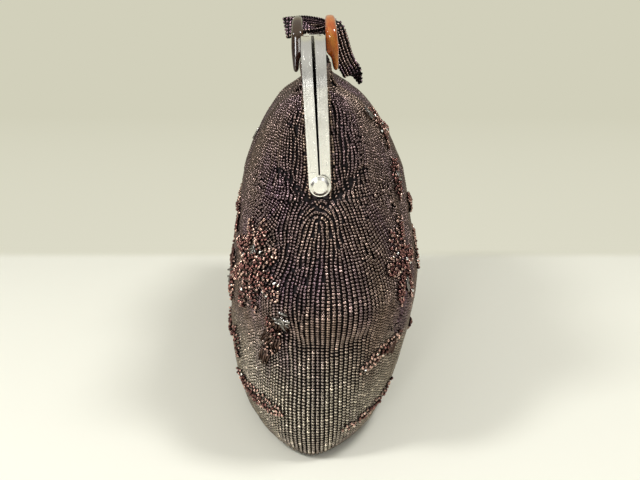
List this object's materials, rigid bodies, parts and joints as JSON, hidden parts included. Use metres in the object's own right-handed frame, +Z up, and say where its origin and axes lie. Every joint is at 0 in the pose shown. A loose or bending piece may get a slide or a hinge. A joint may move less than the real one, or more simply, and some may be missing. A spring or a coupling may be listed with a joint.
{
  "type": "beaded evening handbag",
  "caption": "Beaded evening handbag with a hinged metal clasp frame, resin opening tabs, a sagging lined sack and a short beaded wrist strap on a ring.",
  "frame": {"origin": "the middle of the flat base that the sack stands on", "axes": "+X along the bag's length, towards the end in the picture's foreground; +Y from the front (dark tab) to the back (amber tab); +Z up"},
  "size_m": [0.252, 0.099, 0.1849],
  "materials": {
    "beads": "gunmetal and bronze glass seed beads strung over a dark ground fabric",
    "strap_beads": "rows of dark glass seed beads round a soft core",
    "satin": "satin",
    "frame_plate": "worn silver plate",
    "steel": "plain",
    "dark_resin": "polished cast resin, brown tortoise",
    "amber_resin": "polished cast resin, amber tortoise",
    "paper": "twisted paper cord"
  },
  "bodies": {
    "bag": {"beaded_sack": "beads", "sack_lining": "satin", "slip_pocket": "satin", "front_upper_panel": "beads", "back_upper_panel": "beads", "front_lining_panel": "satin", "back_lining_panel": "satin"},
    "front_half": {"front_frame": "frame_plate", "front_channel_cord": "paper", "front_tab_bracket": "steel", "front_tab": "dark_resin", "front_tab_rivets": "steel", "catch_tongue": "steel"},
    "back_half": {"back_frame": "frame_plate", "back_channel_cord": "paper", "back_tab_bracket": "steel", "back_tab": "amber_resin", "back_tab_rivets": "steel", "catch_keeper": "steel", "hinge_rivets": "frame_plate", "rivet_washers": "steel", "strap_lug": "frame_plate"},
    "strap": {"strap_ring": "frame_plate", "strap_clamp": "frame_plate", "wrist_strap": "strap_beads"}
  },
  "joints": [
    {"name": "back_open", "type": "hinge", "parent": "bag", "child": "back_half", "pos_m": [0, 0, 0.116], "axis": [-1, 0, 0], "range_deg": [0, 30], "deforming": ["back_upper_panel", "back_lining_panel"]},
    {"name": "front_open", "type": "hinge", "parent": "bag", "child": "front_half", "pos_m": [0, 0, 0.116], "axis": [1, 0, 0], "range_deg": [0, 30], "deforming": ["front_upper_panel", "front_lining_panel"]},
    {"name": "strap_lift", "type": "hinge", "parent": "back_half", "child": "strap", "pos_m": [-0.078, -0.00007, 0.17507], "axis": [0, -0.9992, -0.041], "range_deg": [0, 120]}
  ],
  "couplings": [
    {"joint": "front_open", "follows": "back_open", "ratio": 1}
  ]
}
